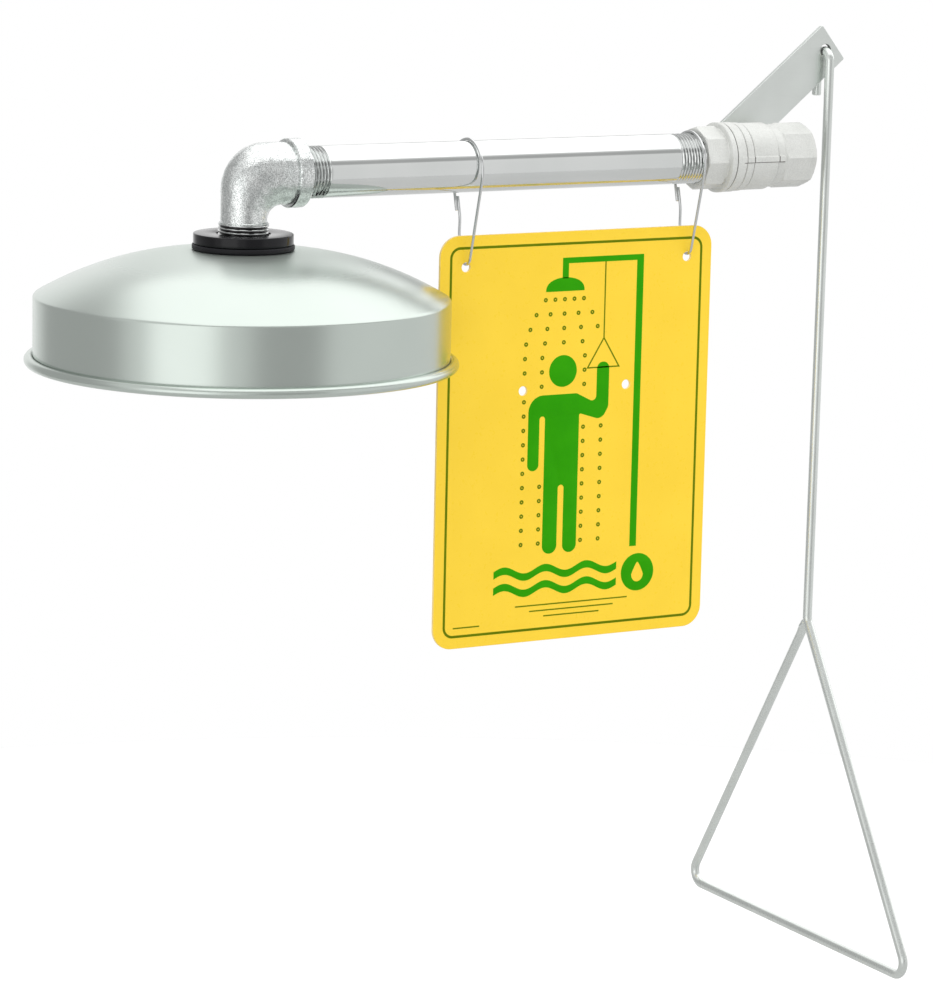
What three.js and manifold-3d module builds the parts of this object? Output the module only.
// Emergency drench shower: a horizontal 1 in pipe arm with a bell head at one end and a stay-open
// ball valve at the other. A pull rod with a triangular handle hangs from the valve's lever, and a
// sign hangs from the arm on two wire hooks. Millimetres, +Z up. The origin is the centre of the
// valve's supply inlet, the arm runs along -X, and the lever is on the +Y side.

import * as THREE from 'three';
import { mergeVertices } from 'three/addons/utils/BufferGeometryUtils.js';
import Module from 'manifold-3d';

const wasm = await Module();
wasm.setup();

// ---------------------------------------------------------------- driving dimensions

const GAP = 0.3;                  // clearance between neighbouring pieces
const ROUND = 36;                 // segments of an ordinary turned surface

const PIPE_R = 16.7;              // 1 in pipe, 33.4 outside diameter
const PIPE_BORE_R = 13.3;
const THREAD_R = 16.2;            // mean radius of the 1 in taper thread
const SOCKET_R = 16.6;            // tapped sockets that the thread screws into
const WATERWAY_R = 10.5;          // port of the valve and its ball

const THREAD_END_R = 15.6;        // thread radius at a chamfered end

const HEAD_X = -419;              // axis of the head and of the elbow's vertical leg
const ELBOW_FACE_X = -379;        // end of the elbow's female band
const ARM_START_X = -394;         // pipe end inside the elbow
const ARM_END_X = -70;            // pipe end inside the valve
const ARM_PLAIN_START_X = -364.8; // the plain length of pipe between the two threads
const ARM_PLAIN_END_X = -104.7;

const VALVE_END_X = -85.3;        // valve face towards the arm
const STEM_X = -41.2;             // stem axis and ball centre
const BALL_R = 17.5;
const CAVITY_R = 18.3;
const SEAT_OUTER_R = 15.2;
const SEAT_BACK = 17.2;           // distance of each seat's back from the ball centre
const BODY_SPLIT_X = -64.3;       // where the end cap meets the body
const INLET_OCTAGON_X = -22.8;        // start of the inlet octagon
const OCTAGON_R = 21.8;           // across-corner radius of the inlet octagon
const CAP_OCTAGON_R = 21.3;

const STEM_R = 5;
const STEM_HALF_FLAT = 3.5;
const BOSS_TOP_Y = 30;            // top of the packing boss
const LEVER_Y = 34.4;             // face of the lever towards the valve
const LEVER_T = 3.2;
const LEVER_W = 30.2;
const LEVER_END = 114.5;          // from the stem axis to the free end
const LEVER_HOLE = 106;           // from the stem axis to the pull rod's hole
const LEVER_HOLE_R = 4.2;
const LEVER_REST_DEG = 39;        // closed: above the horizontal, towards the supply
const LEVER_TURN_DEG = 90;
const HUB_R = 10.9;               // lever metal left inside the stop notch
const STOP_R = 13.2;              // radius of the cast stop post
const STOP_HALF_DEG = 13;         // half the post's angle, with its clearance
const STOP_FROM_LEVER_DEG = 135;  // from the closed lever round to the stop post

const ROD_R = 3.175;              // 1/4 in rod
const HOOK_HALF = 7.3;            // half the distance between the hook's two legs
const HOOK_TAIL = 31;             // length of the tail below the hook's top
const ROD_LEAN_DEG = 0.4;         // the rod hangs with its weight under the hook
const APEX_DROP = 394;            // from the hook's top to the triangle's apex
const TRIANGLE_HEIGHT = 227;
const TRIANGLE_HALF = 140.1;
const ROD_BEND_R = 9.6;

const SIGN_W = 208;
const SIGN_H = 273.8;
const SIGN_T = 2;
const SIGN_X = -173.3;
const SIGN_TOP_Z = -44.9;
const SIGN_CORNER_R = 14;
const SIGN_HOLE_R = 3.15;
const SIGN_HOOK_HALF = 84.7;      // half the spacing of the two hook holes
const SIGN_HOOK_DROP = 20.7;      // hook holes below the top edge
const SIGN_FIX_HALF = 39.7;       // half the spacing of the two middle holes
const SIGN_FIX_DROP = 104.5;

const WIRE_R = 0.95;              // sign hook wire
const WIRE_LOOP_R = 20;           // centreline radius over the pipe
const WIRE_FOOT_R = 6;            // centreline radius through the sign's hole
const WIRE_PLAY = 0.45;           // between the wire's top and the hole's top, so that the sign can swing

const BELL_R = 132;               // outside of the bell's wall
const BELL_T = 1.2;
const BELL_HOLE_R = 21.6;
const BELL_TOP_Z = -47.2;
const BELL_SHOULDER_Z = -81;
const BELL_RIM_Z = -121.2;        // lowest line of the rolled rim
const RIM_ROLL_R = 3;
const FLANGE_TOP_Z = -36.8;
const FLANGE_R = 31.75;
const FLANGE_T = 6.5;
const GASKET_R = 32.5;
const GASKET_T = 3.3;
const NECK_R = 21.2;
const NECK_END_Z = -68;
const INNER_WASHER_TOP = -49.1;
const INNER_WASHER_R = 30;
const INNER_WASHER_T = 2.2;
const RETAINER_R = 38;
const RETAINER_T = 9;
const RETAINER_TOP = INNER_WASHER_TOP - INNER_WASHER_T - GAP;
const SPREADER_R = 60;
const SPREADER_Z = -83;
const SPREADER_T = 2;
const SCREW_R = 2;
const SCREW_TIP_Z = RETAINER_TOP - 2;
const SCREW_CIRCLE_R = 31;
const SCREW_COUNT = 3;

// ---------------------------------------------------------------- shape helpers

const DEG = Math.PI / 180;

// Turns a geometry into a manifold-3d solid.
function solid(geometry) {
  const bare = geometry.index ? geometry.toNonIndexed() : geometry.clone();
  bare.deleteAttribute('normal');
  bare.deleteAttribute('uv');
  const merged = mergeVertices(bare, 1e-3);
  return new wasm.Manifold(new wasm.Mesh({
    numProp: 3,
    vertProperties: merged.attributes.position.array,
    triVerts: new Uint32Array(merged.index.array),
  }));
}

function geometryOf(made) {
  const mesh = made.getMesh();
  const geometry = new THREE.BufferGeometry();
  geometry.setAttribute('position', new THREE.BufferAttribute(mesh.vertProperties, 3));
  geometry.setIndex(new THREE.BufferAttribute(mesh.triVerts, 1));
  return geometry;
}

// Joins the first list of geometries and cuts the second list out of it.
function built(joined, cut = []) {
  const body = joined.map(solid).reduce((a, b) => a.add(b));
  return geometryOf(cut.map(solid).reduce((a, b) => a.subtract(b), body));
}

// Revolves a closed [radius, height] profile, given anticlockwise (up the outside), about one axis.
function turned(profile, axis, segments = ROUND) {
  const points = profile.map(([r, h]) => new THREE.Vector2(r, h));
  const onAxis = profile[0][0] === 0 && profile.at(-1)[0] === 0;
  if (!onAxis) points.push(points[0].clone());
  return aim(new THREE.LatheGeometry(points, segments), axis);
}

// Turns a geometry made about Y so that its height runs along the named axis.
function aim(geometry, axis) {
  if (axis === 'x') geometry.rotateZ(-Math.PI / 2);
  if (axis === 'z') geometry.rotateX(Math.PI / 2);
  return geometry;
}

const ring = (inner, outer, low, high, axis, segments) =>
  turned([[inner, low], [outer, low], [outer, high], [inner, high]], axis, segments);

const rod = (radius, low, high, axis, segments) =>
  turned([[0, low], [radius, low], [radius, high], [0, high]], axis, segments);

// A prism with corners on the axes' directions, from low to high along the named axis.
function prism(sides, radius, low, high, axis, turnDeg = 0) {
  const geometry = new THREE.CylinderGeometry(radius, radius, high - low, sides);
  geometry.rotateY(turnDeg * DEG);
  geometry.translate(0, (low + high) / 2, 0);
  return aim(geometry, axis);
}

// A flat outline in X and Z, thickened along +Y from the given height.
function plate(shape, y, thickness, curveSegments = 12) {
  const options = { depth: thickness, bevelEnabled: false, curveSegments };
  return new THREE.ExtrudeGeometry(shape, options).rotateX(Math.PI / 2).translate(0, y + thickness, 0);
}

// A curve whose even steps fall on the given points, so that straight stretches need no extra ones.
class PointRoute extends THREE.Curve {
  constructor(points) {
    super();
    this.points = points;
  }

  getPoint(t, target = new THREE.Vector3()) {
    const place = t * (this.points.length - 1);
    const low = Math.min(Math.floor(place), this.points.length - 2);
    return target.lerpVectors(this.points[low], this.points[low + 1], place - low);
  }

  getPointAt(u, target) {
    return this.getPoint(u, target);
  }

  getTangentAt(u, target = new THREE.Vector3()) {
    const at = Math.round(u * (this.points.length - 1));
    const before = this.points[Math.max(at - 1, 0)];
    const after = this.points[Math.min(at + 1, this.points.length - 1)];
    const middle = this.points[at];
    const arriving = middle.clone().sub(before).normalize();
    const leaving = after.clone().sub(middle).normalize();
    return target.copy(arriving).add(leaving).normalize();
  }
}

function roundSection(radius, sides) {
  const shape = new THREE.Shape();
  for (let i = 0; i < sides; i++) {
    const angle = (i + 0.5) * 2 * Math.PI / sides;
    const point = [radius * Math.cos(angle), radius * Math.sin(angle)];
    if (i === 0) shape.moveTo(...point);
    else shape.lineTo(...point);
  }
  return shape;
}

function wire(points, radius, sides) {
  const options = { steps: points.length - 1, extrudePath: new PointRoute(points), bevelEnabled: false };
  return new THREE.ExtrudeGeometry(roundSection(radius, sides), options);
}

// Points of an arc in the plane of Y and Z, angles in degrees from +Y towards +Z.
function arcYZ(x, y, z, radius, fromDeg, toDeg, steps) {
  return Array.from({ length: steps + 1 }, (_, i) => {
    const angle = (fromDeg + (toDeg - fromDeg) * i / steps) * DEG;
    return new THREE.Vector3(x, y + radius * Math.cos(angle), z + radius * Math.sin(angle));
  });
}

// Replaces each inner corner of a path by an arc that touches both of its sides.
function filleted(corners, radius, steps) {
  const route = [corners[0]];
  for (let i = 1; i < corners.length - 1; i++) {
    const back = corners[i - 1].clone().sub(corners[i]).normalize();
    const on = corners[i + 1].clone().sub(corners[i]).normalize();
    const half = back.angleTo(on) / 2;
    const middle = back.clone().add(on).normalize();
    const centre = corners[i].clone().addScaledVector(middle, radius / Math.sin(half));
    const start = corners[i].clone().addScaledVector(back, radius / Math.tan(half)).sub(centre);
    const normal = new THREE.Vector3().crossVectors(back, on).normalize();
    const sweep = -(Math.PI - 2 * half);
    for (let k = 0; k <= steps; k++) {
      route.push(start.clone().applyAxisAngle(normal, sweep * k / steps).add(centre));
    }
  }
  route.push(corners.at(-1));
  return route;
}

// Circle points of a profile, angles in degrees.
function arcProfile(r, h, radius, fromDeg, toDeg, steps) {
  return Array.from({ length: steps + 1 }, (_, i) => {
    const angle = (fromDeg + (toDeg - fromDeg) * i / steps) * DEG;
    return [r + radius * Math.cos(angle), h + radius * Math.sin(angle)];
  });
}

const FINISH = {
  stainless: { color: 0xb9bcb8, roughness: 0.35, metalness: 1 },
  galvanised: { color: 0xc4cac9, roughness: 0.45, metalness: 1 },
  zinc: { color: 0xd4d8d8, roughness: 0.12, metalness: 1 },
  nickel: { color: 0xd9d8d2, roughness: 0.5, metalness: 0.9 },
  chrome: { color: 0xdedede, roughness: 0.06, metalness: 1 },
  blackPlastic: { color: 0x101113, roughness: 0.2, metalness: 0 },
  rubber: { color: 0x17181a, roughness: 0.8, metalness: 0 },
  ptfe: { color: 0xf1f1ee, roughness: 0.45, metalness: 0 },
  whitePlastic: { color: 0xe6e6e2, roughness: 0.4, metalness: 0 },
  signYellow: { color: 0xf8cf3c, roughness: 0.35, metalness: 0 },
};

function piece(name, geometry, finish) {
  const mesh = new THREE.Mesh(geometry, new THREE.MeshStandardMaterial(FINISH[finish]));
  mesh.name = name;
  return mesh;
}

// ---------------------------------------------------------------- shower head

// Height of the bell's outer skin at a radius: nearly flat in the middle, steeper to the shoulder.
function bellHeight(radius) {
  const share = (radius - BELL_HOLE_R) / (BELL_R - BELL_HOLE_R);
  return BELL_TOP_Z - 30 * share ** 2.15;
}

function showerHead() {
  const radii = [BELL_HOLE_R, 40, 58, 74, 89, 102, 113, 122, 128];
  const crown = radii.map((r) => [r, bellHeight(r)]);
  const shoulder = [[BELL_R - 1.2, BELL_SHOULDER_Z + 2], [BELL_R, BELL_SHOULDER_Z - 1]];
  const rollR = BELL_R + 2.5;
  const rollZ = BELL_RIM_Z + RIM_ROLL_R;
  const roll = arcProfile(rollR, rollZ, RIM_ROLL_R, 130, -180, 7);
  const outer = [...crown, ...shoulder, [BELL_R, rollZ + 2.9], ...roll];
  const innerCrown = radii.map((r) => [r, bellHeight(r) - BELL_T]).reverse();
  const innerR = BELL_R - BELL_T;
  const inner = [[innerR, rollZ], [innerR, BELL_SHOULDER_Z - 2.5], ...innerCrown];
  return piece('shower_head', turned([...outer, ...inner].reverse(), 'z', 48), 'stainless');
}

// A flanged bush: tapped from above for the elbow, and open below to the flow control.
function inletAdapter() {
  const flangeEnd = FLANGE_TOP_Z - FLANGE_T;
  const edge = 0.6;
  const shelfTop = -57;
  const shelfLow = -60;
  const shelfR = 14;
  const lowerR = 17;
  const profile = [
    [SOCKET_R, FLANGE_TOP_Z], [FLANGE_R - edge, FLANGE_TOP_Z], [FLANGE_R, FLANGE_TOP_Z - edge],
    [FLANGE_R, flangeEnd], [NECK_R, flangeEnd], [NECK_R, NECK_END_Z], [lowerR, NECK_END_Z],
    [lowerR, shelfLow], [shelfR, shelfLow], [shelfR, shelfTop], [SOCKET_R, shelfTop],
  ];
  return piece('inlet_adapter', turned(profile.reverse(), 'z'), 'blackPlastic');
}

function headGasket() {
  const top = FLANGE_TOP_Z - FLANGE_T - GAP;
  return piece('head_gasket', ring(NECK_R + GAP, GASKET_R, top - GASKET_T, top, 'z'), 'rubber');
}

function innerWasher() {
  const low = INNER_WASHER_TOP - INNER_WASHER_T;
  const washer = ring(NECK_R + GAP, INNER_WASHER_R, low, INNER_WASHER_TOP, 'z');
  return piece('inner_washer', washer, 'rubber');
}

// Screw positions on the head's axis circle.
const screwPlaces = Array.from({ length: SCREW_COUNT }, (_, i) => {
  const angle = (90 + 360 * i / SCREW_COUNT) * DEG;
  return [SCREW_CIRCLE_R * Math.cos(angle), SCREW_CIRCLE_R * Math.sin(angle)];
});

// Clearance holes for the three screws.
const screwHoles = (low, high) =>
  screwPlaces.map(([x, y]) => rod(SCREW_R + GAP, low, high, 'z', 12).translate(x, y, 0));

function retainingFlange() {
  const low = RETAINER_TOP - RETAINER_T;
  const blank = ring(NECK_R + GAP, RETAINER_R, low, RETAINER_TOP, 'z');
  const geometry = built([blank], screwHoles(low - 1, SCREW_TIP_Z + GAP));
  return piece('retaining_flange', geometry, 'whitePlastic');
}

function flowControl() {
  const top = -60.4;
  const low = -64.4;
  const holeR = 2.2;
  const circleR = 9;
  const count = 6;
  const hole = () => rod(holeR, low - 1, top + 1, 'z', 12);
  const holes = Array.from({ length: count }, (_, i) => {
    const angle = 2 * Math.PI * i / count;
    return hole().translate(circleR * Math.cos(angle), circleR * Math.sin(angle), 0);
  });
  const disc = rod(THREAD_R + 0.4, low, top, 'z', 24);
  return piece('flow_control', built([disc], [...holes, hole()]), 'whitePlastic');
}

// A dished disc: a low cone in the middle and a lip turned down round the edge.
function spreaderPlate() {
  const low = SPREADER_Z - SPREADER_T;
  const coneR = 16;
  const coneH = 5;
  const lipR = SPREADER_R - 8;
  const lipDrop = 4;
  const dish = turned([
    [0, low + coneH], [coneR, low], [lipR, low], [SPREADER_R, low - lipDrop],
    [SPREADER_R, SPREADER_Z - lipDrop], [lipR, SPREADER_Z], [coneR, SPREADER_Z], [0, SPREADER_Z + coneH],
  ], 'z');
  const geometry = built([dish], screwHoles(low - 1, SPREADER_Z + 1));
  return piece('spreader_plate', geometry, 'stainless');
}

function spreaderSpacer(number, [x, y]) {
  const top = RETAINER_TOP - RETAINER_T - GAP;
  const outerR = 4.5;
  const tube = ring(SCREW_R + GAP, outerR, SPREADER_Z + GAP, top, 'z', 16);
  const mesh = piece(`spreader_spacer_${number}`, tube, 'stainless');
  mesh.position.set(x, y, 0);
  return mesh;
}

function spreaderScrew(number, [x, y]) {
  const seat = SPREADER_Z - SPREADER_T - GAP;
  const headR = 4.2;
  const headT = 3;
  const domeR = 3;
  const tipR = 1.2;
  const profile = [
    [0, seat - headT], [domeR, seat - headT], [headR, seat - headT / 2], [headR, seat], [SCREW_R, seat],
    [SCREW_R, SCREW_TIP_Z - 1], [tipR, SCREW_TIP_Z], [0, SCREW_TIP_Z],
  ];
  const mesh = piece(`spreader_screw_${number}`, turned(profile, 'z', 16), 'stainless');
  mesh.position.set(x, y, 0);
  return mesh;
}

function headGroup() {
  const group = new THREE.Group();
  group.position.x = HEAD_X;
  group.add(showerHead(), inletAdapter(), headGasket(), innerWasher(), retainingFlange());
  group.add(flowControl(), spreaderPlate());
  screwPlaces.forEach((place, i) => {
    group.add(spreaderSpacer(i + 1, place), spreaderScrew(i + 1, place));
  });
  return group;
}

// ---------------------------------------------------------------- elbow and arm

const ELBOW_BEND_R = 22;
const ELBOW_BODY_R = 17.6;
const ELBOW_BORE_R = 12.4;
const ELBOW_CONE_X = -407;        // where the body starts to swell towards the band
const ELBOW_CONE_END_R = 20.2;
const ELBOW_BAND_R = 22;
const ELBOW_BAND_W = 11;
const ELBOW_THREAD_Z = -31;       // top of the male thread
const ELBOW_FOOT_Z = -54.6;       // end of the male thread

function elbowRoute(legZ, armX) {
  const corner = new THREE.Vector3(HEAD_X, 0, 0);
  const foot = new THREE.Vector3(HEAD_X, 0, legZ);
  return filleted([foot, corner, new THREE.Vector3(armX, 0, 0)], ELBOW_BEND_R, 8);
}

function streetElbow() {
  const bandX = ELBOW_FACE_X - ELBOW_BAND_W;
  const edge = 0.8;
  const bend = wire(elbowRoute(ELBOW_THREAD_Z - 0.6, bandX + 5), ELBOW_BODY_R, 24);
  const cone = turned([
    [0, ELBOW_CONE_X], [ELBOW_BODY_R + 0.2, ELBOW_CONE_X], [ELBOW_CONE_END_R, bandX + 0.5], [0, bandX + 0.5],
  ], 'x');
  const band = turned([
    [0, bandX], [ELBOW_BAND_R - edge, bandX], [ELBOW_BAND_R, bandX + edge],
    [ELBOW_BAND_R, ELBOW_FACE_X - edge], [ELBOW_BAND_R - edge, ELBOW_FACE_X], [0, ELBOW_FACE_X],
  ], 'x');
  const thread = turned([
    [0, ELBOW_FOOT_Z], [THREAD_END_R, ELBOW_FOOT_Z], [THREAD_R, ELBOW_FOOT_Z + 1.5],
    [THREAD_R, ELBOW_THREAD_Z], [0, ELBOW_THREAD_Z],
  ], 'z').translate(HEAD_X, 0, 0);
  const waterway = wire(elbowRoute(ELBOW_FOOT_Z - 2, ELBOW_FACE_X - 12), ELBOW_BORE_R, 16);
  const socket = rod(SOCKET_R, ARM_START_X - GAP, ELBOW_FACE_X + 2, 'x');
  return piece('street_elbow', built([bend, cone, band, thread], [waterway, socket]), 'galvanised');
}

function pipeNipple() {
  const runOut = 0.8;
  const profile = [
    [PIPE_BORE_R, ARM_START_X], [THREAD_END_R, ARM_START_X], [THREAD_R, ARM_START_X + 1],
    [THREAD_R, ARM_PLAIN_START_X], [PIPE_R, ARM_PLAIN_START_X + runOut],
    [PIPE_R, ARM_PLAIN_END_X - runOut], [THREAD_R, ARM_PLAIN_END_X],
    [THREAD_R, ARM_END_X - 1], [THREAD_END_R, ARM_END_X], [PIPE_BORE_R, ARM_END_X],
  ];
  return piece('pipe_nipple', turned(profile, 'x'), 'zinc');
}

// ---------------------------------------------------------------- valve

const CAP_OCTAGON_X = -73;        // where the cap's octagon runs into its hub
const CAP_OCTAGON_DEG = 4;        // how far the cap is screwed round from the body's flats
const CAP_NECK_R = 19.2;
const CAP_COLLAR_X = -70.2;
const CAP_COLLAR_R = 23.6;
const CAP_SPIGOT_R = 18;
const SEAT_POCKET = 14;           // distance of each seat pocket's mouth from the ball centre
const SEAT_POCKET_R = SEAT_OUTER_R + GAP;

function valveEndCap() {
  const octagon = prism(8, CAP_OCTAGON_R, VALVE_END_X, CAP_OCTAGON_X, 'x', CAP_OCTAGON_DEG);
  const collarEnd = BODY_SPLIT_X - GAP;
  const spigotEnd = STEM_X - SEAT_POCKET;
  const hub = turned([
    [0, CAP_OCTAGON_X - 3], [CAP_NECK_R, CAP_OCTAGON_X - 3], [CAP_NECK_R + 0.4, CAP_OCTAGON_X - 0.2],
    [CAP_COLLAR_R - 1.2, CAP_COLLAR_X - 0.4], [CAP_COLLAR_R, CAP_COLLAR_X],
    [CAP_COLLAR_R, collarEnd - 0.3], [CAP_COLLAR_R - 0.3, collarEnd],
    [CAP_SPIGOT_R, collarEnd], [CAP_SPIGOT_R, spigotEnd], [0, spigotEnd],
  ], 'x');
  const socket = rod(SOCKET_R, VALVE_END_X - 1, ARM_END_X + 0.7, 'x');
  const port = rod(WATERWAY_R, ARM_END_X - 1, STEM_X, 'x', 24);
  const pocket = rod(SEAT_POCKET_R, STEM_X - SEAT_BACK - GAP / 2, STEM_X, 'x');
  return piece('valve_end_cap', built([octagon, hub], [socket, port, pocket]), 'nickel');
}

// The body's turned steps, from the joint with the cap to the inlet octagon.
const BODY_STEP_R = [23.2, 22.8, 22.3, 20.5];
const BODY_STEP_X = [-57.1, -50.8, -31.1];
const BODY_EDGE = 0.4;
const INLET_SOCKET_R = 15.4;      // minor radius of the tapped inlet
const INLET_SOCKET_DEPTH = 20;
const BOSS_R = 12;
const CHAMBER_R = 8;              // packing chamber in the boss
const CHAMBER_FLOOR_Y = 25;
const STEM_BORE_R = STEM_R + GAP;
const FLANGE_POCKET_R = 7.4;      // pocket over the stem's flange
const FLANGE_POCKET_Y = 21.4;
const BODY_SEAL_R = 20;

function stopPost() {
  const top = LEVER_Y + LEVER_T + 0.2;
  const root = 19.8;
  const post = new THREE.BoxGeometry(3.8, top - root, 5);
  post.translate(STOP_R, (root + top) / 2, 0);
  post.rotateY(-(LEVER_REST_DEG + STOP_FROM_LEVER_DEG) * DEG);
  return post.translate(STEM_X, 0, 0);
}

function valveBody() {
  const [collarR, ringR, barrelR, neckR] = BODY_STEP_R;
  const [ringX, barrelX, neckX] = BODY_STEP_X;
  const shell = turned([
    [0, BODY_SPLIT_X], [collarR, BODY_SPLIT_X], [collarR, ringX], [ringR, ringX + BODY_EDGE],
    [ringR, barrelX], [barrelR, barrelX + BODY_EDGE], [barrelR, neckX], [neckR, neckX + 1.5],
    [neckR, INLET_OCTAGON_X], [neckR - 1.1, INLET_OCTAGON_X + 0.8], [0, INLET_OCTAGON_X + 0.8],
  ], 'x');
  const octagon = prism(8, OCTAGON_R, INLET_OCTAGON_X, 0, 'x');
  const boss = rod(BOSS_R, 0, BOSS_TOP_Y, 'y').translate(STEM_X, 0, 0);
  const ribLength = neckX - barrelX - 0.7;
  const rib = new THREE.BoxGeometry(ribLength, 2.4, 1.6);
  rib.translate((neckX + barrelX) / 2, 0.4 - barrelR, 0);
  const cuts = [
    rod(INLET_SOCKET_R, -INLET_SOCKET_DEPTH, 1, 'x'),
    rod(WATERWAY_R, STEM_X, 1 - INLET_SOCKET_DEPTH, 'x', 24),
    rod(SEAT_POCKET_R, STEM_X, STEM_X + SEAT_BACK + GAP / 2, 'x'),
    rod(CAVITY_R, BODY_SPLIT_X - 1, STEM_X + SEAT_POCKET, 'x'),
    rod(BODY_SEAL_R + 0.2, BODY_SPLIT_X - 1, BODY_SPLIT_X + 1.8, 'x'),
    rod(FLANGE_POCKET_R, 0, FLANGE_POCKET_Y, 'y', 32).translate(STEM_X, 0, 0),
    rod(STEM_BORE_R, 0, CHAMBER_FLOOR_Y + 1, 'y', 24).translate(STEM_X, 0, 0),
    rod(CHAMBER_R, CHAMBER_FLOOR_Y, BOSS_TOP_Y + 1, 'y', 32).translate(STEM_X, 0, 0),
  ];
  return piece('valve_body', built([shell, octagon, boss, rib, stopPost()], cuts), 'nickel');
}

function bodySeal() {
  const low = BODY_SPLIT_X - 0.1;
  const seal = ring(CAVITY_R + 0.1, BODY_SEAL_R, low, BODY_SPLIT_X + 1.5, 'x', 40);
  return piece('body_seal', seal, 'ptfe');
}

function valveSeat(name, side) {
  const innerR = 11.2;
  const half = [
    [innerR, 14.2], [13.2, 12.5], [SEAT_OUTER_R, 12], [SEAT_OUTER_R, SEAT_BACK], [innerR, SEAT_BACK],
  ];
  const profile = half.map(([r, h]) => [r, STEM_X + side * h]);
  return piece(name, turned(side > 0 ? profile : profile.reverse(), 'x', 40), 'ptfe');
}

const TANG_W = 12;
const TANG_T = 3;
const TANG_LOW_Y = 14.8;
const SLOT_FLOOR_Y = 14.5;
const STEM_FLANGE_R = 7;
const STEM_FLANGE_Y = [17.8, 20.1];
const STEM_THREAD_R = 3.7;
const STEM_TOP_Y = 46;

// The ball in its closed place: its port runs up and down, and the stem's slot along the pipe.
function valveBall() {
  const ball = new THREE.SphereGeometry(BALL_R, 24, 16);
  const port = rod(WATERWAY_R, -BALL_R - 1, BALL_R + 1, 'z', 24);
  const slot = new THREE.BoxGeometry(2 * BALL_R, BALL_R - SLOT_FLOOR_Y + 5, TANG_T + 2 * GAP);
  slot.translate(0, (SLOT_FLOOR_Y + BALL_R + 5) / 2, 0);
  const mesh = piece('valve_ball', built([ball], [port, slot]), 'chrome');
  mesh.position.x = STEM_X;
  return mesh;
}

function valveStem() {
  const [flangeLow, flangeTop] = STEM_FLANGE_Y;
  const tangH = flangeLow + 0.4 - TANG_LOW_Y;
  const tang = new THREE.BoxGeometry(TANG_W, tangH, TANG_T).translate(0, TANG_LOW_Y + tangH / 2, 0);
  const flange = rod(STEM_FLANGE_R, flangeLow, flangeTop, 'y', 32);
  const shaft = rod(STEM_R, flangeTop - 1, LEVER_Y - GAP, 'y', 24);
  const flats = new THREE.BoxGeometry(2 * STEM_HALF_FLAT, LEVER_T + 1, 2 * STEM_R + 1);
  flats.translate(0, LEVER_Y + LEVER_T / 2, 0);
  const round = rod(STEM_R, LEVER_Y - 1, LEVER_Y + LEVER_T, 'y', 24);
  const base = LEVER_Y + LEVER_T - 0.1;
  const thread = turned([
    [0, base], [STEM_THREAD_R, base], [STEM_THREAD_R, STEM_TOP_Y - 0.8],
    [STEM_THREAD_R - 0.7, STEM_TOP_Y], [0, STEM_TOP_Y],
  ], 'y', 24);
  const drive = geometryOf(solid(flats).intersect(solid(round)));
  const mesh = piece('valve_stem', built([tang, flange, shaft, drive, thread]), 'stainless');
  mesh.position.x = STEM_X;
  return mesh;
}

// A turned or hexagonal piece on the stem's axis.
function onStem(name, geometry, finish) {
  const mesh = piece(name, geometry, finish);
  mesh.position.x = STEM_X;
  return mesh;
}

function packingNut() {
  const cornerR = 10.4;
  const hex = prism(6, cornerR, BOSS_TOP_Y + GAP, LEVER_Y - GAP, 'y', 30);
  const spigot = rod(CHAMBER_R - GAP, 28.9, BOSS_TOP_Y + 1, 'y', 32);
  const bore = rod(STEM_BORE_R, 20, LEVER_Y + 1, 'y', 24);
  return onStem('packing_nut', built([hex, spigot], [bore]), 'nickel');
}

function leverPlate() {
  const halfW = LEVER_W / 2;
  const corner = 1;
  const notchStart = STOP_FROM_LEVER_DEG - STOP_HALF_DEG;
  const notchEnd = STOP_FROM_LEVER_DEG + LEVER_TURN_DEG + STOP_HALF_DEG;
  const notch = [notchStart * DEG, notchEnd * DEG];
  const outline = new THREE.Shape();
  outline.moveTo(LEVER_END - corner, -halfW);
  outline.lineTo(LEVER_END, corner - halfW);
  outline.lineTo(LEVER_END, halfW - corner);
  outline.lineTo(LEVER_END - corner, halfW);
  outline.lineTo(0, halfW);
  outline.absarc(0, 0, halfW, Math.PI / 2, notch[0], false);
  outline.absarc(0, 0, HUB_R, notch[0], notch[1], false);
  outline.absarc(0, 0, halfW, notch[1], 1.5 * Math.PI, false);
  const rodHole = new THREE.Path();
  rodHole.absarc(LEVER_HOLE, 0, LEVER_HOLE_R, 0, 2 * Math.PI, true);
  const stemHole = new THREE.Path();
  const flatX = STEM_HALF_FLAT + GAP;
  const flatAngle = Math.acos(flatX / STEM_BORE_R);
  stemHole.absarc(0, 0, STEM_BORE_R, flatAngle, Math.PI - flatAngle, false);
  stemHole.absarc(0, 0, STEM_BORE_R, Math.PI + flatAngle, 2 * Math.PI - flatAngle, false);
  outline.holes.push(rodHole);
  const blank = plate(outline, LEVER_Y, LEVER_T);
  blank.rotateY(-LEVER_REST_DEG * DEG);
  const drive = plate(new THREE.Shape(stemHole.getPoints(8)), LEVER_Y - 1, LEVER_T + 2);
  return onStem('lever_plate', built([blank], [drive]), 'stainless');
}

const WASHER_R = 7.4;
const WASHER_T = 1.2;

function lockWasher() {
  const low = LEVER_Y + LEVER_T + GAP;
  const washer = ring(STEM_THREAD_R + 2 * GAP, WASHER_R, low, low + WASHER_T, 'y', 24);
  return onStem('lever_lock_washer', washer, 'stainless');
}

function leverNut() {
  const cornerR = 7.5;
  const height = 6;
  const low = LEVER_Y + LEVER_T + WASHER_T + 2 * GAP;
  const hex = prism(6, cornerR, low, low + height, 'y');
  const bore = rod(STEM_THREAD_R + GAP, low - 1, low + height + 1, 'y', 24);
  return onStem('lever_nut', built([hex], [bore]), 'stainless');
}

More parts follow.
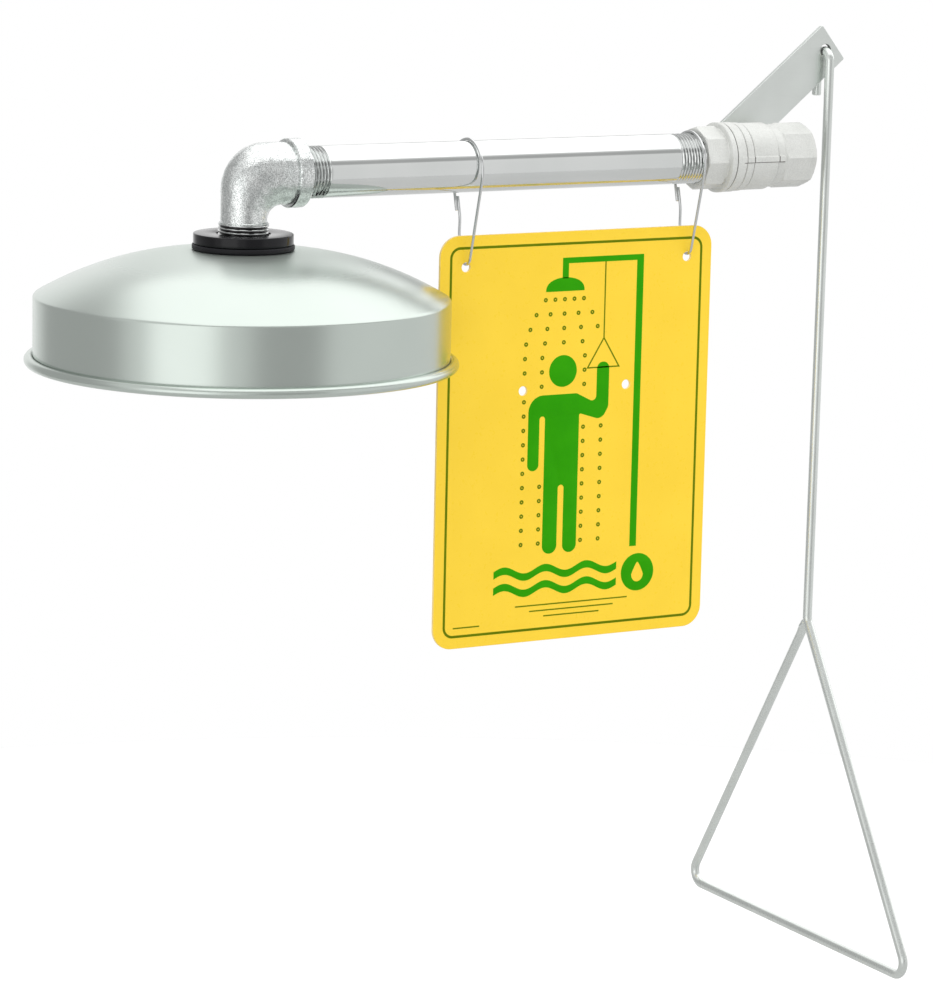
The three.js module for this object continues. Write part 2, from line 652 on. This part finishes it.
function thrustWasher() {
  const low = STEM_FLANGE_Y[1] + 0.2;
  const washer = ring(STEM_BORE_R, FLANGE_POCKET_R - 0.2, low, low + 0.8, 'y', 32);
  return onStem('thrust_washer', washer, 'ptfe');
}

function stemPacking() {
  const low = CHAMBER_FLOOR_Y + GAP;
  const packing = ring(STEM_BORE_R, CHAMBER_R - 0.2, low, low + 3.3, 'y', 32);
  return onStem('stem_packing', packing, 'ptfe');
}

function valveGroup() {
  const group = new THREE.Group();
  group.add(valveEndCap(), valveBody(), bodySeal(), valveBall());
  group.add(valveSeat('valve_seat_outlet', -1), valveSeat('valve_seat_inlet', 1));
  group.add(valveStem(), thrustWasher(), stemPacking(), packingNut());
  group.add(leverPlate(), lockWasher(), leverNut());
  return group;
}

// ---------------------------------------------------------------- pull rod

// One rod bent into hook, straight and triangle. Its frame's origin is the hook's top, in the
// lever's hole. The end of the bent rod is welded to the straight at the apex.
function pullRod() {
  const straightY = -HOOK_HALF;
  const baseZ = -APEX_DROP - TRIANGLE_HEIGHT;
  const at = (y, z) => new THREE.Vector3(0, y, z);
  const apex = at(straightY, -APEX_DROP);
  const nearCorner = at(straightY - TRIANGLE_HALF, baseZ);
  const farCorner = at(straightY + TRIANGLE_HALF, baseZ);
  const towardsApex = apex.clone().sub(farCorner).normalize();
  const onLastLeg = (toApex) => apex.clone().addScaledVector(towardsApex, -toApex);
  const stop = onLastLeg(20);
  const hook = arcYZ(0, 0, -HOOK_HALF, HOOK_HALF, 0, 180, 10);
  const triangle = filleted([hook.at(-1), apex, nearCorner, farCorner, stop], ROD_BEND_R, 7);
  const bent = wire([at(HOOK_HALF, -HOOK_TAIL), ...hook, ...triangle.slice(1)], ROD_R, 12);
  const weld = wire([onLastLeg(24), onLastLeg(1)], ROD_R + 0.15, 12);
  const mesh = piece('pull_rod', built([bent, weld]), 'stainless');
  const holeX = STEM_X + LEVER_HOLE * Math.cos(LEVER_REST_DEG * DEG);
  const holeZ = LEVER_HOLE * Math.sin(LEVER_REST_DEG * DEG);
  mesh.position.set(holeX, LEVER_Y + LEVER_T / 2, holeZ - 0.4);
  mesh.rotation.x = ROD_LEAN_DEG * DEG;
  return mesh;
}

// ---------------------------------------------------------------- sign and its hooks

function signPlate() {
  const halfW = SIGN_W / 2;
  const corner = SIGN_CORNER_R;
  const outline = new THREE.Shape();
  outline.absarc(halfW - corner, -corner, corner, Math.PI / 2, 0, true);
  outline.absarc(halfW - corner, corner - SIGN_H, corner, 0, -Math.PI / 2, true);
  outline.absarc(corner - halfW, corner - SIGN_H, corner, -Math.PI / 2, -Math.PI, true);
  outline.absarc(corner - halfW, -corner, corner, Math.PI, Math.PI / 2, true);
  const hole = (x, drop) => new THREE.Path().absarc(x, -drop, SIGN_HOLE_R, 0, 2 * Math.PI);
  for (const side of [-1, 1]) {
    outline.holes.push(hole(side * SIGN_HOOK_HALF, SIGN_HOOK_DROP));
    outline.holes.push(hole(side * SIGN_FIX_HALF, SIGN_FIX_DROP));
  }
  const mesh = piece('sign_plate', plate(outline, -SIGN_T / 2, SIGN_T, 6), 'signYellow');
  mesh.position.set(SIGN_X, 0, SIGN_TOP_Z);
  return mesh;
}

// A loop over the pipe and through the sign's hole. Its two ends lap side by side on the back leg.
function signHook(name, x) {
  const loopZ = PIPE_R + WIRE_R + 0.25 - WIRE_LOOP_R;
  const holeTopZ = SIGN_TOP_Z - SIGN_HOOK_DROP + SIGN_HOLE_R;
  const footZ = holeTopZ - WIRE_R - WIRE_PLAY + WIRE_FOOT_R;
  const rise = loopZ - footZ;
  const tilt = Math.asin((WIRE_LOOP_R - WIRE_FOOT_R) / rise) / DEG;
  const over = arcYZ(0, 0, loopZ, WIRE_LOOP_R, -tilt, 180 + tilt, 20);
  const under = arcYZ(0, 0, footZ, WIRE_FOOT_R, 180 + tilt, 360 - tilt, 10);
  const backTop = over[0];
  const backLow = under.at(-1);
  const onBack = (share, aside) => backTop.clone().lerp(backLow, share).add(new THREE.Vector3(aside, 0, 0));
  const lap = 2 * WIRE_R + GAP;
  const route = [onBack(0.5, 0), ...over, ...under, onBack(0.68, 0), onBack(0.56, lap), onBack(0.3, lap)];
  const mesh = piece(name, wire(route, WIRE_R, 8), 'chrome');
  mesh.position.x = x;
  return mesh;
}

// ---------------------------------------------------------------- assembly

const shower = new THREE.Group();
shower.add(headGroup(), streetElbow(), pipeNipple(), valveGroup(), pullRod(), signPlate());
shower.add(signHook('sign_hook_head_side', SIGN_X - SIGN_HOOK_HALF));
shower.add(signHook('sign_hook_valve_side', SIGN_X + SIGN_HOOK_HALF));

export default shower;
